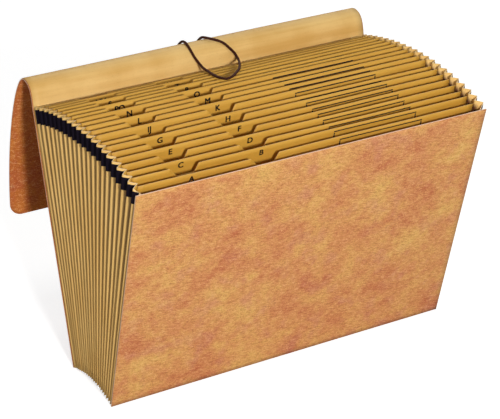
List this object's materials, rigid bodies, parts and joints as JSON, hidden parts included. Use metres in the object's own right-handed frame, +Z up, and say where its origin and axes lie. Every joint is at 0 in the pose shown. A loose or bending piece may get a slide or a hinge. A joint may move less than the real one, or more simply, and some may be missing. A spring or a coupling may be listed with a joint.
{
  "type": "expanding file folder",
  "caption": "Accordion file of tall kraft pockets between two fibre board covers, fanned open, with a rolled-back flap and an elastic cord.",
  "frame": {"origin": "on the surface the folder stands on, under the middle of the box of everything but the cord", "axes": "+X along the width, to the right seen from the front; -Y out of the front cover; +Z up"},
  "size_m": [0.383, 0.2994, 0.2848],
  "materials": {
    "red_fibre_board": "mottled red-brown fibre board, matt",
    "divider_kraft": "golden kraft paper, matt",
    "kraft_lining": "smooth pale kraft paper, satin",
    "gusset_kraft": "pleated kraft paper, matt",
    "black_tape": "black cloth tape",
    "elastic": "dark brown covered elastic"
  },
  "bodies": {
    "root": {"front_cover": "red_fibre_board", "divider_a": "divider_kraft", "divider_b": "divider_kraft", "divider_c": "divider_kraft", "divider_d": "divider_kraft", "divider_e": "divider_kraft", "divider_f": "divider_kraft", "divider_g": "divider_kraft", "divider_h": "divider_kraft", "divider_ij": "divider_kraft", "divider_k": "divider_kraft", "divider_l": "divider_kraft", "divider_m": "divider_kraft", "divider_n": "divider_kraft", "divider_o": "divider_kraft", "divider_pq": "divider_kraft", "divider_r": "divider_kraft", "divider_s": "divider_kraft", "divider_t": "divider_kraft", "divider_uv": "divider_kraft", "divider_w": "divider_kraft", "back_cover_flap": "red_fibre_board", "flap_lining": "kraft_lining", "gusset": "gusset_kraft", "gusset_tape_left": "black_tape", "gusset_tape_right": "black_tape", "elastic_cord": "elastic", "cord_knot_left": "elastic", "cord_knot_right": "elastic"}
  },
  "joints": []
}
